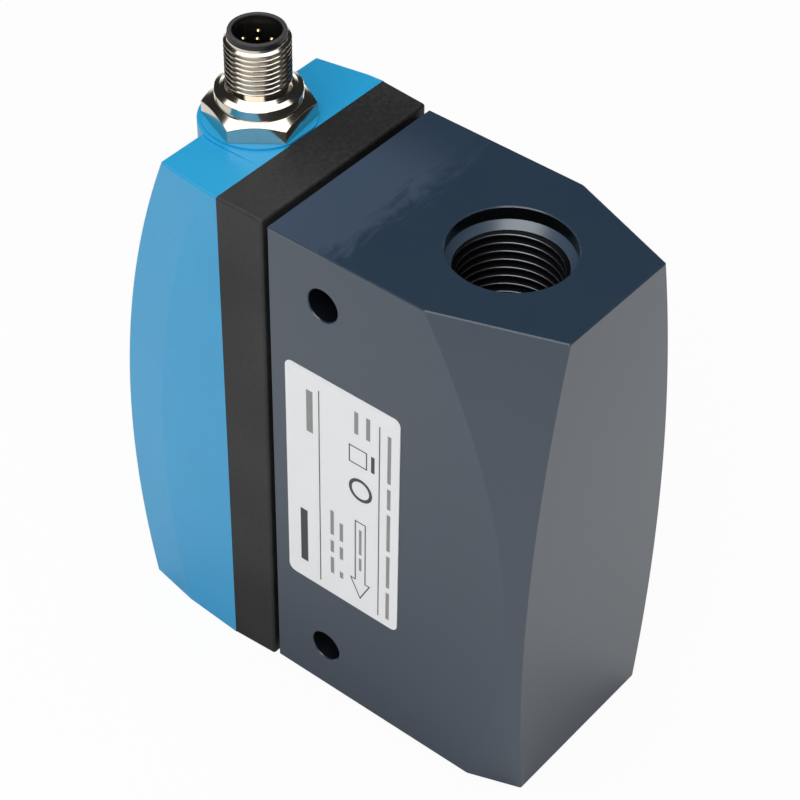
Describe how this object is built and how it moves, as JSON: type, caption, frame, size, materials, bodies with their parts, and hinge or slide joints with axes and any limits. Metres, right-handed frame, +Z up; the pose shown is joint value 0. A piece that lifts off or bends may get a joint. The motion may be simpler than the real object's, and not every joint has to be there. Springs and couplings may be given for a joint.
{
  "type": "compressed air flow meter",
  "caption": "Compact in-line flow meter for compressed air: metal block with a threaded port at each end, dark spacer frame and moulded cover with a threaded plug on top.",
  "frame": {"origin": "on the flow axis, in the plane of the lower port face", "axes": "+Z up the flow axis towards the inlet port, +X from the cover towards the free end of the block, -Y out of the label face"},
  "size_m": [0.096, 0.0452, 0.1285],
  "materials": {
    "anodised_block": "fine milled, clear anodised, satin",
    "label_film": "satin printed film",
    "black_rubber": "matte",
    "black_moulding": "fine spark-eroded texture",
    "blue_moulding": "smooth satin",
    "nickel_plating": "bright nickel plating on brass",
    "black_insulator": "satin",
    "gold_contacts": "gold plating",
    "stainless_steel": "turned",
    "lead_insulation": "satin",
    "board_laminate": "solder mask",
    "socket_moulding": "satin",
    "chip_package": "matte",
    "capacitor_can": "drawn can"
  },
  "bodies": {
    "root": {"measuring_block": "anodised_block", "rating_label": "label_film", "frame_gasket": "black_rubber", "spacer_frame": "black_moulding", "cover_seal": "black_rubber", "electronics_cover": "blue_moulding", "connector_shell": "nickel_plating", "connector_seal": "black_rubber", "contact_carrier": "black_insulator", "contact_pins": "gold_contacts", "sensor_plug": "stainless_steel", "plug_seal": "black_rubber", "heated_probe": "stainless_steel", "reference_probe": "stainless_steel", "probe_leads": "lead_insulation", "frame_screws": "stainless_steel", "plug_screws": "stainless_steel", "board_screws": "stainless_steel", "main_board": "board_laminate", "lead_socket": "socket_moulding", "processor_chip": "chip_package", "amplifier_chip": "chip_package", "supply_capacitors": "capacitor_can", "supply_coil": "chip_package", "connector_leads": "lead_insulation"}
  },
  "joints": []
}
